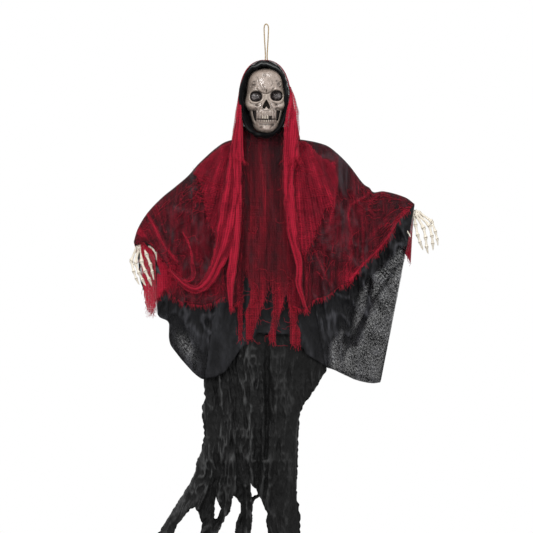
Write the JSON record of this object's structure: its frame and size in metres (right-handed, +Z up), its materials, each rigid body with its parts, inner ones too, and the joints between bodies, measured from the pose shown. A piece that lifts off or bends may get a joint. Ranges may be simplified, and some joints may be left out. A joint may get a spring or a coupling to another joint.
{
  "type": "hanging reaper ghost decoration",
  "caption": "Hanging cloth ghost with a moulded skull in a hood, skeleton hands on bendable wire arms, gauze capes and a ragged skirt.",
  "frame": {"origin": "inside top of the hanging cord loop", "axes": "+Z up, the face looks along -Y, +X towards the viewer's right"},
  "size_m": [0.7714, 0.141, 1.3376],
  "materials": {
    "cord": "twisted jute",
    "bone": "gloss with a dark wash",
    "eye": "high gloss",
    "ivory": "satin with brown shading",
    "wire": "bare drawn wire",
    "foam": "foam tube",
    "dowel": "plain dowel",
    "satin": "black satin",
    "gauze": "red open gauze",
    "maroon": "dark red open gauze",
    "nonwoven": "thin black nonwoven"
  },
  "bodies": {
    "cord_loop": {"hanging_loop": "cord", "loop_knot": "cord"},
    "figure": {"skull_face": "bone", "skull_back": "bone", "left_eye": "eye", "right_eye": "eye", "neck_post": "dowel", "shoulder_wire": "wire", "left_shoulder_foam": "foam", "right_shoulder_foam": "foam", "hood": "satin", "veil": "gauze", "tunic_front": "nonwoven", "tunic_back": "nonwoven", "chest_panel": "maroon", "skirt_front": "nonwoven", "skirt_back": "nonwoven"},
    "left_arm": {"left_arm_wire": "wire", "left_arm_foam": "foam", "left_sleeve": "nonwoven", "left_cape": "gauze"},
    "right_arm": {"right_arm_wire": "wire", "right_arm_foam": "foam", "right_sleeve": "nonwoven", "right_cape": "gauze"},
    "left_hand": {"left_hand": "ivory"},
    "right_hand": {"right_hand": "ivory"}
  },
  "joints": [
    {"name": "figure_swing", "type": "hinge", "parent": "cord_loop", "child": "figure", "pos_m": [0, 0, -0.102], "axis": [1, 0, 0], "range_deg": [-15, 15]},
    {"name": "left_shoulder", "type": "hinge", "parent": "figure", "child": "left_arm", "pos_m": [-0.1, 0, -0.308], "axis": [0, 1, 0], "range_deg": [-20, 30], "deforming": ["left_sleeve", "left_cape"]},
    {"name": "right_shoulder", "type": "hinge", "parent": "figure", "child": "right_arm", "pos_m": [0.1, 0, -0.308], "axis": [0, -1, 0], "range_deg": [-20, 30], "deforming": ["right_sleeve", "right_cape"]},
    {"name": "left_wrist", "type": "hinge", "parent": "left_arm", "child": "left_hand", "pos_m": [-0.313, 0, -0.54], "axis": [0, 1, 0], "range_deg": [-30, 30]},
    {"name": "right_wrist", "type": "hinge", "parent": "right_arm", "child": "right_hand", "pos_m": [0.365, 0, -0.463], "axis": [0, -1, 0], "range_deg": [-30, 30]}
  ]
}
